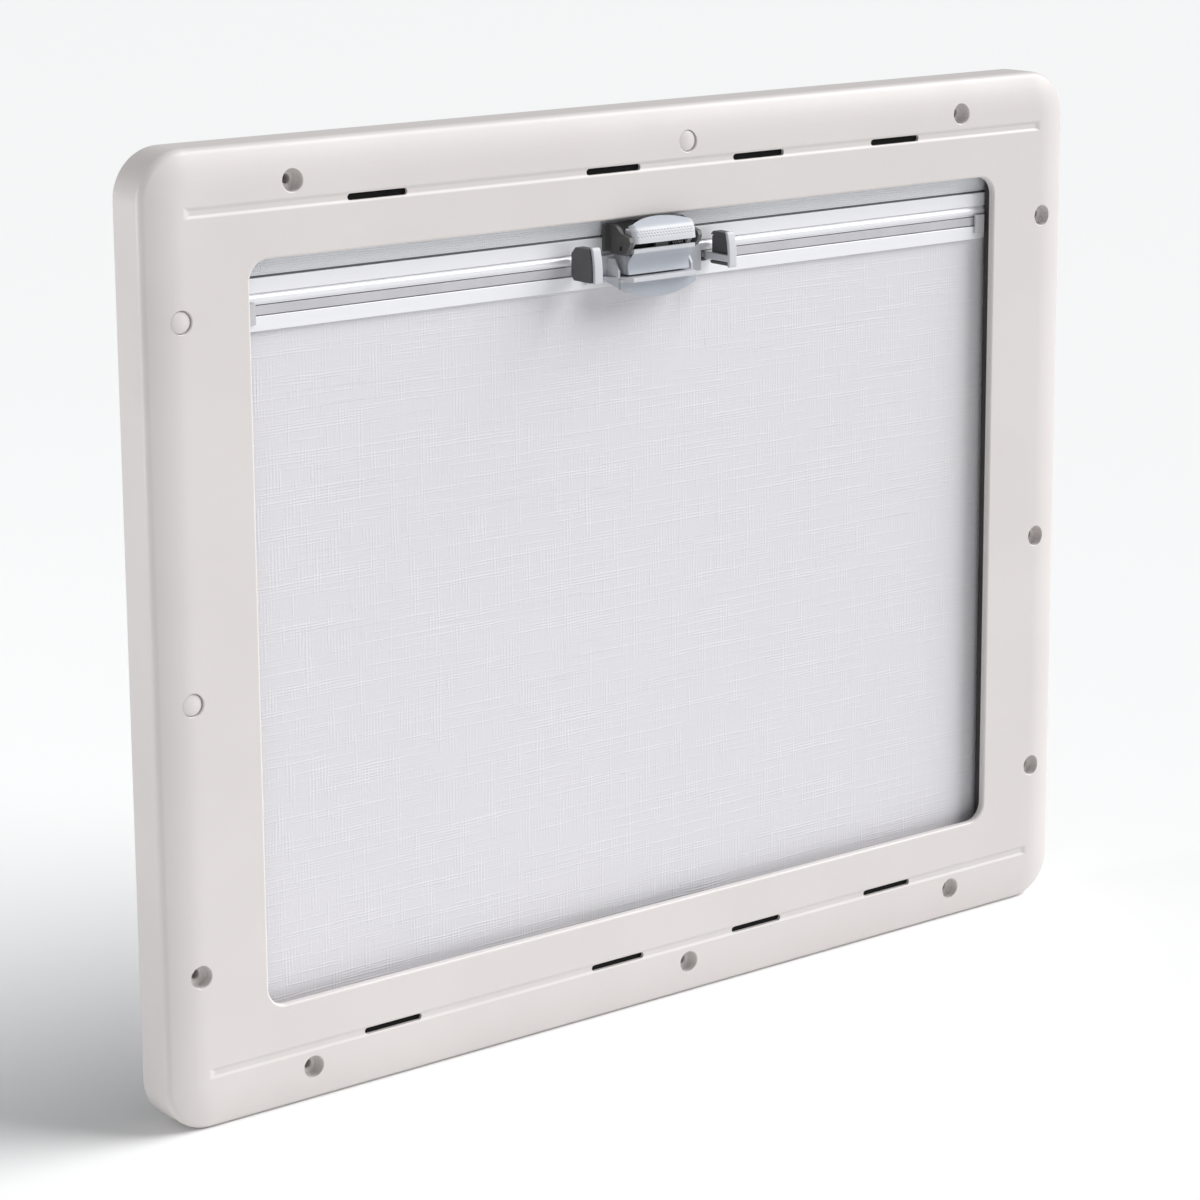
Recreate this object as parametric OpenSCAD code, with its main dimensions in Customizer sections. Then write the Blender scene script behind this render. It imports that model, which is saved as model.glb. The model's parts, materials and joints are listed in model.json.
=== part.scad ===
// Interior blind cassette for a caravan or motorhome window.
// A moulded frame screws to the wall round the window. Behind it a blackout
// sheet rolls up from a spring roller at the bottom, and an insect screen
// comes down from a spring roller at the top. Their pull bars run in side
// rails and latch together at a grip in the middle.
// +X is right, +Z is up, and +Y points into the wall. The origin is on the
// wall plane, at the centre of the four corner screws.

/* [Frame] */
// Overall width of the frame
frame_w = 584; // [520:1:900]
// Overall height of the frame
frame_h = 471; // [440:1:800]
// Depth of the frame, from the wall to its front face
frame_d = 27; // [27:0.5:33]
// Wall thickness of the moulding
wall_t = 2.5; // [2:0.1:2.6]
// Radius of the outer corners
corner_r = 24; // [22:1:40]
// Radius of the rounded front edge
edge_r = 4.5; // [4:0.5:6]
// Width of the sloped border, from the outer edge to the flat face
slope_w = 20.6; // [15:0.2:21]
// Slope of the border where it meets the rounded edge, in degrees. It eases to 0 at the flat face.
slope_a = 21; // [14:1:23]
// Width of the frame's side members, from the outer edge to the opening
side_member = 55.5; // [55.5:0.5:80]
// Width of the frame's top and bottom members
end_member = 54; // [54:0.5:80]
// Radius of the opening's corners
open_r = 10; // [4:1:20]
// Depth of the lip round the opening
lip_d = 3.6; // [3:0.1:4]

/* [Screw seats] */
// Clearance hole for the wall screws
screw_d = 4.5; // [3:0.1:5.5]
// Diameter of the recess over each screw head
recess_d = 11; // [9:0.1:12]
// Depth of that recess below the flat face
recess_depth = 5.5; // [4:0.1:9]
// Distance of the screws from the outer edge
screw_inset = 18.3; // [17:0.1:19]
// Distance of the corner screws from the frame's left or right edge
corner_screw_x = 80; // [60:1:110]
// Distance of the upper and lower side screws from the top or bottom edge
side_screw_z = 78.5; // [60:0.5:110]
// Offset of the middle screws from the centre line
mid_screw_shift = 23.5; // [0:0.5:40]

/* [Vents] */
// Length of each vent slot
slot_len = 34; // [20:1:50]
// Height of each vent slot
slot_h = 3.4; // [2:0.1:4]
// Width of the groove that the slots lie in
groove_w = 4.6; // [4:0.1:6]
// Depth of that groove
groove_depth = 0.8; // [0.4:0.1:1.2]
// Distance of the groove's centre from the outer edge
groove_inset = 29; // [27:0.1:30]

/* [Pull bars] */
// Height of the blackout bar
blackout_bar_h = 17.6; // [16:0.1:20]
// Height of the screen bar
screen_bar_h = 7.1; // [6:0.1:10]
// Depth of both bars, front to back
bar_d = 9; // [8:0.1:10.8]
// Gap between the screen bar and the edge of the opening
screen_show = 9.5; // [9:0.1:20]
// Height of the slot along the blackout bar
bar_slot_h = 5.3; // [4.8:0.1:6]
// Height of the slot's lower edge above the bottom of the blackout bar
bar_slot_z = 7; // [6:0.1:7.5]
// Depth of that slot
bar_slot_d = 6; // [5:0.1:7]
// Distance that both bars travel down
bar_travel = 326; // [150:1:326]

/* [Sheets and rollers] */
// Thickness of the blackout sheet
sheet_t = 0.5; // [0.3:0.05:0.6]
// Outer radius of the roller tubes
tube_r = 6; // [5.5:0.1:7]
// Wall of the roller tubes
tube_wall = 0.8; // [0.6:0.1:1.2]
// Outer radius of the wound insect screen with the screen rolled up
screen_roll_r = 7.8; // [7:0.1:8]
// Outer radius of the wound blackout sheet with the sheet pulled out
blackout_roll_r = 6.9; // [6.7:0.1:8]
// Radius of the journals that carry the rollers
journal_r = 3; // [2:0.1:3.5]
// Radius of the fixed axle inside each spring
axle_r = 2; // [1.5:0.1:2.2]
// Radial clearance of the journals and axles
run_gap = 0.05; // [0.03:0.01:0.1]

/* [Grip] */
// Distance from the centre to the inner edge of each release paddle
paddle_x = 40.5; // [39:0.1:60]
// Width of each release paddle's front plate
paddle_w = 5; // [4.9:0.1:8]
// Height of each release paddle
paddle_h = 18; // [16:0.1:18.5]
// Travel of each release paddle
paddle_travel = 3.5; // [2:0.1:4]
// Half the distance between the outer faces of the two latch cheeks
cheek_x = 23; // [20:0.1:30]
// Thickness of each latch cheek
cheek_t = 2.4; // [2:0.1:3]
// Radius of the latch pin
pin_r = 1.2; // [1:0.05:1.3]

/* [Hidden] */

// Colours of the finishes
frame_colour = [0.87, 0.85, 0.83];
bar_colour = [0.93, 0.93, 0.95];
grip_colour = [0.80, 0.82, 0.86];
pad_colour = [0.30, 0.30, 0.32];
black_colour = [0.07, 0.07, 0.07];
steel_colour = [0.70, 0.70, 0.72];
sheet_colour = [0.86, 0.86, 0.89];
mesh_colour = [0.62, 0.66, 0.72];

// Steps in one turn of the round surfaces
$fn = 48;
eps = 0.01;

// Half sizes of the frame and of its opening
half_w = frame_w / 2;
half_h = frame_h / 2;
open_x = half_w - side_member;
open_z = half_h - end_member;
lip_t = 2;

// Heights above the wall plane of the front face, the inside of the face, and the lip's back
face_in = frame_d - wall_t;
lip_back = frame_d - lip_d;

// Screw seats: the corners first, then the singles. Each is [x, z].
screw_x = half_w - corner_screw_x;
screw_z = half_h - screw_inset;
side_x = half_w - screw_inset;
side_z = half_h - side_screw_z;
SEATS = [
    [-screw_x, screw_z], [screw_x, screw_z], [-screw_x, -screw_z], [screw_x, -screw_z],
    [mid_screw_shift, screw_z], [mid_screw_shift, -screw_z],
    [-side_x, side_z], [side_x, side_z], [-side_x, -mid_screw_shift], [side_x, -mid_screw_shift],
    [-side_x, -side_z], [side_x, -side_z]
];
CAPPED = [[mid_screw_shift, screw_z], [-side_x, side_z], [-side_x, -mid_screw_shift]];
boss_r = recess_d / 2 + 2;
boss_top = frame_d - 1.5;
cap_gap = 0.1;
cap_head_t = 1.4;
cap_sink = 1;

// Vent slots, at the same places along the top and bottom members
slot_pitch = (screw_x - 24) / 2;
SLOTS = [-screw_x + 47.5, -mid_screw_shift, -mid_screw_shift + slot_pitch, -mid_screw_shift + 2 * slot_pitch];
groove_z = half_h - groove_inset;
groove_end = 22;

// Depths of the rails, their channels, the bars and the sheets. Y is negative in front of the wall.
rail_wall = 2.5;
rail_front = -face_in + 0.5;
chan_front = rail_front + rail_wall;
bar_front = chan_front + 2.5;
bar_back = bar_front + bar_d;
chan_back = bar_back + 1;
rail_back = chan_back + 3;
sheet_y = bar_front + 2;
roll_gap = 0.3;

// Pull bars
screen_top = open_z - screen_show;
screen_z = screen_top - screen_bar_h;
bar_gap = 0.3;
blackout_top = screen_z - bar_gap;
blackout_z = blackout_top - blackout_bar_h;
slot_lo = blackout_z + bar_slot_z;
slot_hi = slot_lo + bar_slot_h;
slot_mid = (slot_lo + slot_hi) / 2;
bar_half = open_x + 1.5;
groove_gap = 0.25;
spline_r = 1;
nose_r = (blackout_top - slot_hi) / 2;

// Side rails, which are channels that open towards the middle
rail_x = open_x + 7;
rail_w = 18.5;
rail_floor_t = 3;
rail_half = open_z + 4.5;
guide_gap = 0.4;
chan_floor = rail_x + rail_w - rail_floor_t;
sheet_half = rail_x + 4.5;

// Ears and posts that fix the rails and brackets
ear_x = rail_x + rail_w + 4;
ear_z = [-100, 100];
ear_t = 2;
ear_w = 8;
ear_len = 14;
post_r = 3.4;
post_top = -rail_back + ear_t;
pilot_r = 1.35;
tap_screw_r = 1.25;
tap_head_r = 3;
tap_head_t = 2;
tap_len = 11;
ear_hole_r = 1.6;

// Rollers
roller_z = open_z + 14.5;
screen_roller_y = sheet_y + sheet_t + roll_gap + screen_roll_r;
blackout_roller_y = sheet_y + sheet_t + roll_gap + blackout_roll_r;
tube_half = sheet_half + 2;
plug_len = 12;
plug_rim = 1.5;
bracket_x = tube_half + plug_rim + 4.5;
bracket_t = 3;
bracket_half_h = 10;
axle_in = tube_half - 160;
coil_wire = 0.5;
coil_r = tube_r - tube_wall - 1.6;

// Grip
grip_front = bar_front - 20;
base_t = 2;
base_front = bar_front - base_t;
base_half = paddle_x - 3.7;
stop_x = 28;
pin_y = bar_front - 12;
pin_z = blackout_top + 2.9;
pin_head = 0.8;
grip_half = cheek_x - cheek_t - 1.1;
lever_half = cheek_x - cheek_t - 0.4;
paddle_z = blackout_z + 5.4;
paddle_t = 1.8;
pad_back = base_front - 0.3;
pad_t = 2;
foot_gap = 0.4;
strip_t = 1.5;
strip_front = bar_front + 0.7;
strip_lo = slot_lo + foot_gap;
strip_h = bar_slot_h - 2 * foot_gap;
shoe_in = bar_half - 5;
shoe_lo = slot_lo - 3.7;
shoe_hi = slot_hi + 1;

// Turns a shape drawn flat on the wall, with its height along +Z, to face the room
module face_room() {
    rotate([90, 0, 0]) children();
}

// A block with four round corners, centred on X and Y, from height lo to height hi
module round_block(w, h, r, lo, hi) {
    translate([-w / 2 + r, -h / 2, lo]) cube([w - 2 * r, h, hi - lo]);
    translate([-w / 2, -h / 2 + r, lo]) cube([w, h - 2 * r, hi - lo]);
    for (sx = [-1, 1], sy = [-1, 1])
        translate([sx * (w / 2 - r), sy * (h / 2 - r), lo]) cylinder(r = r, h = hi - lo);
}

// A rod along X from x0 to x1
module rod_x(r, x0, x1) {
    translate([x0, 0, 0]) rotate([0, 90, 0]) cylinder(r = r, h = x1 - x0);
}

// Extrudes a section drawn as [y, z] along X from x0 to x1
module along_x(x0, x1) {
    translate([x0, 0, 0]) rotate([90, 0, 90]) linear_extrude(x1 - x0) children();
}

// Copies a part to the other side of the middle plane as well
module both_sides() {
    children();
    mirror([1, 0, 0]) children();
}

// ---- Front frame ----

// Points of the border's section, offset inwards by t, as [distance in from the edge, height]
function border_line(t) = let (
    crown_r = slope_w / sin(slope_a) - edge_r * (1 / sin(slope_a) - 1),
    arc_h = frame_d - crown_r + (crown_r - edge_r) * cos(slope_a)
) concat(
    [[t, 0]],
    [for (i = [0:8]) let (a = i / 8 * (90 - slope_a))
        [edge_r - (edge_r - t) * cos(a), arc_h + (edge_r - t) * sin(a)]],
    [for (i = [5:-1:0]) let (a = i / 6 * slope_a)
        [slope_w - (crown_r - t) * sin(a), frame_d - crown_r + (crown_r - t) * cos(a)]],
    [[corner_r, frame_d - t]]
);

function reversed(points) = [for (i = [len(points) - 1:-1:0]) points[i]];

// Section of the border, drawn from the corner's centre outwards
module border_section() {
    line = concat(border_line(0), reversed(border_line(wall_t)));
    polygon([for (p = line) [corner_r - p[0], p[1]]]);
}

module border_side(half_across, len) {
    translate([half_across - corner_r, len / 2, 0])
        rotate([90, 0, 0]) linear_extrude(len) border_section();
}

module border() {
    for (turn = [0, 180]) {
        rotate([0, 0, turn]) border_side(half_w, frame_h - 2 * corner_r);
        rotate([0, 0, turn + 90]) border_side(half_h, frame_w - 2 * corner_r);
    }
    for (sx = [0, 1], sy = [0, 1])
        mirror([sx, 0, 0]) mirror([0, sy, 0])
            translate([half_w - corner_r, half_h - corner_r, 0])
                rotate_extrude(angle = 90) border_section();
}

module flat_face() {
    w = frame_w - 2 * corner_r;
    h = frame_h - 2 * corner_r;
    difference() {
        union() {
            translate([-w / 2, -h / 2, face_in]) cube([w, h, wall_t]);
            round_block(2 * (open_x + lip_t), 2 * (open_z + lip_t), open_r + lip_t, lip_back, face_in + eps);
        }
        round_block(2 * open_x, 2 * open_z, open_r, lip_back - 1, frame_d + 1);
    }
}

// Gussets between the outer wall and the face
module gussets() {
    depth = 8;
    thick = 1.6;
    for (sx = [-1, 1], z = [-110, -65, 35, 95])
        translate([sx * (half_w - depth / 2 - wall_t / 2), z, 3])
            translate([-depth / 2, -thick / 2, 0]) cube([depth, thick, frame_d - 11]);
    for (sz = [-1, 1], x = [-150, -100, -40, 80, 130])
        translate([x, sz * (half_h - depth / 2 - wall_t / 2), 3])
            translate([-thick / 2, -depth / 2, 0]) cube([thick, depth, frame_d - 11]);
}

// Places of the posts for the rails' ears and the brackets' ears
POSTS = concat(
    [for (sx = [-1, 1], z = ear_z) [sx * ear_x, z]],
    [for (sx = [-1, 1], sz = [-1, 1]) [sx * (bracket_x + 9), sz * roller_z]]
);

module posts() {
    for (p = POSTS)
        translate([p[0], p[1], post_top]) cylinder(r = post_r, h = face_in - post_top + eps);
}

module vent_slot(x) {
    translate([x, 0, 0]) {
        translate([-slot_len / 2 + slot_h / 2, -slot_h / 2, face_in - 1])
            cube([slot_len - slot_h, slot_h, wall_t + 2]);
        for (s = [-1, 1])
            translate([s * (slot_len / 2 - slot_h / 2), 0, face_in - 1])
                cylinder(d = slot_h, h = wall_t + 2);
    }
}

module vents() {
    len = frame_w - 2 * groove_end;
    for (sz = [-1, 1]) translate([0, sz * groove_z, 0]) {
        translate([-len / 2, -groove_w / 2, frame_d - groove_depth]) cube([len, groove_w, 5]);
        for (x = SLOTS) vent_slot(x);
    }
}

module front_frame() color(frame_colour) face_room() {
    difference() {
        union() {
            border();
            flat_face();
            gussets();
            posts();
            for (p = SEATS) translate([p[0], p[1], 0]) cylinder(r = boss_r, h = boss_top);
        }
        vents();
        for (p = SEATS) translate([p[0], p[1], 0]) {
            translate([0, 0, -1]) cylinder(d = screw_d, h = frame_d + 2);
            translate([0, 0, frame_d - recess_depth]) cylinder(d = recess_d, h = recess_depth + 1);
        }
        for (p = POSTS) translate([p[0], p[1], post_top - 1]) cylinder(r = pilot_r, h = tap_len + 1);
    }
}

// Push-in caps: a shank in the recess under a shallow dome
module screw_caps() color(frame_colour) face_room() {
    r = recess_d / 2 - cap_gap;
    dome = 0.8;
    ball = (r * r + dome * dome) / (2 * dome);
    for (p = CAPPED) translate([p[0], p[1], frame_d - recess_depth]) {
        rotate_extrude() polygon(concat(
            [[0, recess_depth - cap_head_t - cap_sink], [0, recess_depth - cap_sink + dome]],
            [for (i = [1:6]) let (x = r * i / 6) [x, recess_depth - cap_sink + dome - ball + sqrt(ball * ball - x * x)]],
            [[r, recess_depth - cap_head_t - cap_sink]]
        ));
        difference() {
            cylinder(r = r - 0.6, h = recess_depth - cap_head_t - cap_sink + eps);
            translate([0, 0, -1]) cylinder(r = r - 1.8, h = recess_depth - cap_head_t - cap_sink + 1);
        }
    }
}

// Thin foam strips behind the two rows of slots, which keep light and dust out
module slot_seals() color(black_colour) for (sz = [-1, 1])
    translate([SLOTS[0] - slot_len / 2 - 6, -face_in, sz * groove_z - 3])
        cube([SLOTS[3] - SLOTS[0] + slot_len + 12, 0.6, 6]);

// ---- Rails and fixings ----

// Section of the right rail: a channel, with a thin inner edge that closes the gap behind the frame's lip
module rail_section() {
    edge_front = -lip_back + 0.2;
    difference() {
        union() {
            translate([rail_x, rail_front]) square([rail_w, rail_back - rail_front]);
            translate([open_x + 0.3, edge_front]) square([rail_x - open_x, chan_front - edge_front]);
            translate([open_x + 0.3, edge_front]) square([1, bar_front - 0.7 - edge_front]);
        }
        translate([rail_x - 1, chan_front]) square([chan_floor - rail_x + 1, chan_back - chan_front]);
    }
}

// A lug with a screw hole, against the top of a post. It reaches in to x0.
module ear(x0, x, z) {
    difference() {
        translate([x0, rail_back - ear_t, z - ear_len / 2]) cube([x - x0 + ear_w / 2, ear_t, ear_len]);
        translate([x, rail_back - ear_t - 1, z]) rotate([-90, 0, 0]) cylinder(r = ear_hole_r, h = ear_t + 2);
    }
}

module right_rail() color(black_colour) {
    translate([0, 0, -rail_half]) linear_extrude(2 * rail_half) rail_section();
    for (z = ear_z) ear(rail_x + rail_w - eps, ear_x, z);
}

module left_rail() mirror([1, 0, 0]) right_rail();

module tapping_screw() color(steel_colour) {
    translate([0, rail_back, 0]) rotate([-90, 0, 0]) difference() {
        cylinder(r = tap_head_r, h = tap_head_t);
        for (turn = [0, 90]) rotate([0, 0, turn])
            translate([-1.6, -0.3, tap_head_t - 1]) cube([3.2, 0.6, 2]);
    }
    translate([0, rail_back + eps, 0]) rotate([90, 0, 0]) cylinder(r = tap_screw_r, h = tap_len);
}

module rail_screws() {
    for (p = POSTS) translate([p[0], 0, p[1]]) tapping_screw();
}

// Bracket for one end of a roller. y is the roller's axis, and hole_r its bearing.
module bracket(y, hole_r, sz) color(black_colour) {
    z = sz * roller_z;
    difference() {
        union() {
            translate([bracket_x, rail_front + 0.5, z - bracket_half_h])
                cube([bracket_t, -rail_front - 1.5, 2 * bracket_half_h]);
            ear(bracket_x + bracket_t - eps, bracket_x + 9, z);
        }
        translate([0, y, z]) rod_x(hole_r, bracket_x - 1, bracket_x + bracket_t + 1);
    }
}

module top_right_bracket() bracket(screen_roller_y, axle_r + run_gap, 1);
module top_left_bracket() mirror([1, 0, 0]) bracket(screen_roller_y, journal_r + run_gap, 1);
module bottom_right_bracket() bracket(blackout_roller_y, axle_r + run_gap, -1);
module bottom_left_bracket() mirror([1, 0, 0]) bracket(blackout_roller_y, journal_r + run_gap, -1);

// Catch under the opening, where the blackout bar parks. Two teeth stand up from its edge.
module bottom_catch() color(black_colour) {
    top = -open_z - 3.4;
    half = 43;
    translate([-half, -face_in, top - 14]) cube([2 * half, 2, 14]);
    translate([-half, -face_in, top - 4]) cube([2 * half, face_in + bar_front, 4]);
    for (x = [-21, 21]) translate([x - 4, bar_front - 2.4, top - eps]) cube([8, 2, 1]);
}

// ---- Rollers ----

// Fixed axle in the right-hand end, which the spring is wound on
module roller_axle(y, sz) color(steel_colour) translate([0, y, sz * roller_z]) {
    rod_x(axle_r, axle_in, bracket_x + bracket_t);
    difference() {
        rod_x(coil_r - coil_wire - 0.1, axle_in + 2, axle_in + 8);
        rod_x(axle_r - eps, axle_in + 1, axle_in + 9);
    }
}

// Wire wound in a helix along X, as one closed strip of square section
module coil(r, wire, x0, x1, turns, steps) {
    n = turns * steps;
    ring = [[1, 0], [0, 1], [-1, 0], [0, -1]];
    points = [for (i = [0:n], k = [0:3]) let (
        a = 360 * i / steps, rr = r + wire * ring[k][0], x = x0 + (x1 - x0) * i / n + wire * ring[k][1]
    ) [x, rr * cos(a), rr * sin(a)]];
    sides = [for (i = [0:n - 1], k = [0:3]) let (j = (k + 1) % 4)
        [4 * i + k, 4 * i + j, 4 * i + 4 + j, 4 * i + 4 + k]];
    polyhedron(points, concat([[3, 2, 1, 0]], sides, [[4 * n, 4 * n + 1, 4 * n + 2, 4 * n + 3]]));
}

module roller_spring(y, sz) color(steel_colour)
    translate([0, y, sz * roller_z]) coil(coil_r, coil_wire, axle_in + 8.5, tube_half - plug_len - 2, 30, 10);

module roller_tube(y, sz) color(bar_colour) translate([0, y, sz * roller_z]) difference() {
    rod_x(tube_r, -tube_half, tube_half);
    rod_x(tube_r - tube_wall, -tube_half - 1, tube_half + 1);
}

// Left plug, with the turning journal
module roller_left_plug(y, sz) color(black_colour) translate([0, y, sz * roller_z]) {
    rod_x(tube_r - tube_wall, -tube_half, -tube_half + plug_len);
    rod_x(tube_r, -tube_half - plug_rim, -tube_half);
    rod_x(journal_r, -bracket_x - bracket_t, -tube_half - plug_rim);
}

// Right plug, which turns on the fixed axle
module roller_right_plug(y, sz) color(black_colour) translate([0, y, sz * roller_z]) difference() {
    union() {
        rod_x(tube_r - tube_wall, tube_half - plug_len, tube_half);
        rod_x(tube_r, tube_half, tube_half + plug_rim);
    }
    rod_x(axle_r + run_gap, tube_half - plug_len - 1, tube_half + plug_rim + 1);
}

module wound_cloth(y, sz, r) translate([0, y, sz * roller_z]) difference() {
    rod_x(r, -sheet_half, sheet_half);
    rod_x(tube_r, -sheet_half - 1, sheet_half + 1);
}

module screen_axle() roller_axle(screen_roller_y, 1);
module screen_spring() roller_spring(screen_roller_y, 1);
module screen_tube() roller_tube(screen_roller_y, 1);
module screen_left_plug() roller_left_plug(screen_roller_y, 1);
module screen_right_plug() roller_right_plug(screen_roller_y, 1);
module screen_roll() color(mesh_colour) wound_cloth(screen_roller_y, 1, screen_roll_r);
module blackout_axle() roller_axle(blackout_roller_y, -1);
module blackout_spring() roller_spring(blackout_roller_y, -1);
module blackout_tube() roller_tube(blackout_roller_y, -1);
module blackout_left_plug() roller_left_plug(blackout_roller_y, -1);
module blackout_right_plug() roller_right_plug(blackout_roller_y, -1);
module blackout_roll() color(sheet_colour) wound_cloth(blackout_roller_y, -1, blackout_roll_r);

// ---- Sheets ----

// Depth of cloth held in each bar's groove
hem = 3;

module screen_mesh() color(mesh_colour)
    translate([-sheet_half, sheet_y, screen_top - hem])
        cube([2 * sheet_half, sheet_t, roller_z - screen_top + hem]);

module blackout_sheet() color(sheet_colour)
    translate([-sheet_half, sheet_y, -roller_z])
        cube([2 * sheet_half, sheet_t, roller_z + blackout_z + hem]);

// ---- Pull bars ----

// Groove for the cloth's edge, with a round room for its spline. up is 1 for a groove in the top edge.
module cloth_groove(edge, up) {
    depth = hem + spline_r;
    translate([sheet_y - groove_gap, up > 0 ? edge - depth : edge - 1])
        square([sheet_t + 2 * groove_gap, depth + 1]);
    translate([sheet_y + sheet_t / 2, edge - up * depth]) circle(r = spline_r + groove_gap);
}

module bar_spline(edge, up, half) color(grip_colour)
    translate([0, sheet_y + sheet_t / 2, edge - up * (hem + spline_r)]) rod_x(spline_r, -half, half);

module screen_bar() color(bar_colour) along_x(-bar_half, bar_half) difference() {
    translate([bar_front, screen_z]) square([bar_d, screen_bar_h]);
    cloth_groove(screen_top, 1);
    translate([bar_back - 5, screen_z + 1.2]) square([3.8, screen_bar_h - 2.4]);
}

module screen_spline() bar_spline(screen_top, 1, bar_half - 1);
module blackout_spline() bar_spline(blackout_z, -1, bar_half - 1);

// Section of the blackout bar: a flat lower flange, the slot, and a round nose above it
module blackout_bar_section() {
    difference() {
        union() {
            translate([bar_front + nose_r * 0.4, blackout_z])
                square([bar_d - nose_r * 0.4, blackout_top - blackout_z]);
            translate([bar_front, blackout_z]) square([2, bar_slot_z]);
            translate([bar_front + nose_r, slot_hi + nose_r]) circle(r = nose_r);
        }
        translate([bar_front - 1, slot_lo]) square([bar_slot_d + 1, bar_slot_h]);
        cloth_groove(blackout_z, -1);
        translate([bar_back - 2.6, blackout_z + 1.2]) square([1.4, blackout_bar_h - 2.4]);
    }
}

module blackout_bar() color(bar_colour) along_x(-bar_half, bar_half) blackout_bar_section();

// Black shoe on a bar's end, which runs in the rail
module bar_guide(lo, hi) color(black_colour)
    translate([bar_half, chan_front + guide_gap, lo])
        cube([chan_floor - 1 - bar_half, chan_back - chan_front - 2 * guide_gap, hi - lo]);

module screen_right_guide() bar_guide(screen_z + 0.5, screen_top - hem - 0.6);
module screen_left_guide() mirror([1, 0, 0]) screen_right_guide();
module blackout_right_guide() bar_guide(shoe_hi + 0.5, blackout_top - 0.3);
module blackout_left_guide() mirror([1, 0, 0]) blackout_right_guide();

// ---- Screen latch ----

// Outline of one cheek, as [y, z]
CHEEK = [
    [bar_front, pin_z - 2], [pin_y + 4, pin_z - 3.4], [pin_y - 1, pin_z - 3.2], [pin_y - 4, pin_z - 1.8],
    [pin_y - 6.6, pin_z + 1], [pin_y - 7.6, pin_z + 3.6], [pin_y - 6.6, pin_z + 5.8],
    [pin_y - 3.4, pin_z + 6.6], [pin_y + 0.4, pin_z + 7.6], [pin_y + 3, pin_z + 10],
    [pin_y + 6, pin_z + 11.4], [bar_front, pin_z + 11.4]
];

// Two cheeks on a back plate, which is riveted to the screen bar
module latch_bracket() color(pad_colour) {
    difference() {
        union() {
            both_sides() along_x(cheek_x - cheek_t, cheek_x) polygon(CHEEK);
            translate([-cheek_x - 2.5, base_front, screen_z + 0.4])
                cube([2 * cheek_x + 5, base_t, pin_z + 11.4 - screen_z - 0.4]);
        }
        translate([0, pin_y, pin_z]) rod_x(pin_r, -cheek_x - 1, cheek_x + 1);
    }
}

module latch_pin() color(steel_colour) translate([0, pin_y, pin_z])
    rod_x(pin_r, -cheek_x + 0.4, cheek_x - 0.4);

module latch_spring() color(steel_colour) translate([0, pin_y, pin_z])
    coil(pin_r + 0.75, 0.35, 8, lever_half - 4.4, 6, 12);

// Outer line of the lever, from its top edge to its lower front edge, as [y, z]
LEVER = [
    [pin_y + 0.6, pin_z + 14.5], [pin_y - 1.6, pin_z + 13.4], [pin_y - 3.8, pin_z + 12],
    [pin_y - 5.6, pin_z + 10.4], [pin_y - 6.8, pin_z + 8.6], [pin_y - 7.6, pin_z + 6], [pin_y - 8.2, pin_z + 2.6]
];
lever_t = 1.8;
lever_inside = [for (i = [0:6]) let (a = 60 - 10 * i) LEVER[i] + lever_t * [cos(a), -sin(a)]];
hub_r = 2.4;

lever_sag = 5;
lever_r = (lever_half * lever_half + lever_sag * lever_sag) / (2 * lever_sag);

// Curved finger plate on two arms that turn on the pin, with a rib that the keeper tooth holds
module latch_lever() color(grip_colour) difference() {
    union() {
        intersection() {
            along_x(-lever_half, lever_half) polygon(concat(LEVER, reversed(lever_inside)));
            translate([0, pin_y + 10, LEVER[0][1] - lever_r]) rotate([90, 0, 0])
                cylinder(r = lever_r, h = 30, $fn = 160);
        }
        both_sides() along_x(lever_half - 3, lever_half) {
            translate([pin_y, pin_z]) circle(r = hub_r);
            polygon([
                [pin_y - hub_r, pin_z], [pin_y + hub_r, pin_z], [pin_y + 1, pin_z + 12.2],
                [pin_y - 5, pin_z + 9], [pin_y - 6.2, pin_z + 4]
            ]);
        }
        along_x(-6, 6) {
            translate([pin_y - 1.4, pin_z + 3]) square([2, 2]);
            translate([pin_y - 0.4, pin_z + 4]) square([1, 9]);
        }
    }
    translate([0, pin_y, pin_z]) rod_x(pin_r + run_gap, -lever_half - 1, lever_half + 1);
}

// ---- Lower grip ----

// Plate on the bar that the grip stands on, with the two spring stops in the slot
module grip_base() color(grip_colour) {
    translate([-base_half, base_front, blackout_z + 2.5]) cube([2 * base_half, base_t, blackout_top - blackout_z - 4]);
    both_sides() translate([stop_x, bar_front - eps, slot_lo + foot_gap]) cube([2, 5, strip_h]);
}

// Section of the finger grip: a hollow front face under a narrow lip, as [y, z]
lip_top = pin_z - 0.2;
grip_lo = blackout_z + 6;
GRIP = concat(
    [[base_front, grip_lo], [base_front - 2.5, grip_lo], [base_front - 2.5, grip_lo + 1], [pin_y - 2, grip_lo + 1]],
    [for (i = [1:7]) let (s = i / 8) [pin_y - 2 - 4 * s + 2.6 * sin(180 * s), grip_lo + 1 + (lip_top - 3 - grip_lo) * s]],
    [[pin_y - 6.3, lip_top - 1.8], [pin_y - 6.3, lip_top], [pin_y - 4.4, lip_top],
     [pin_y - 4.2, lip_top - 3.6], [base_front, lip_top - 4.3]]
);

// Shelf under the grip, and the thumb tab that hangs from it
shelf_t = 2.2;
tab_half = 24;
tab_sag = 5.5;
tab_low = blackout_z - 5.5;
tab_r = (tab_half * tab_half + tab_sag * tab_sag) / (2 * tab_sag);

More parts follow.
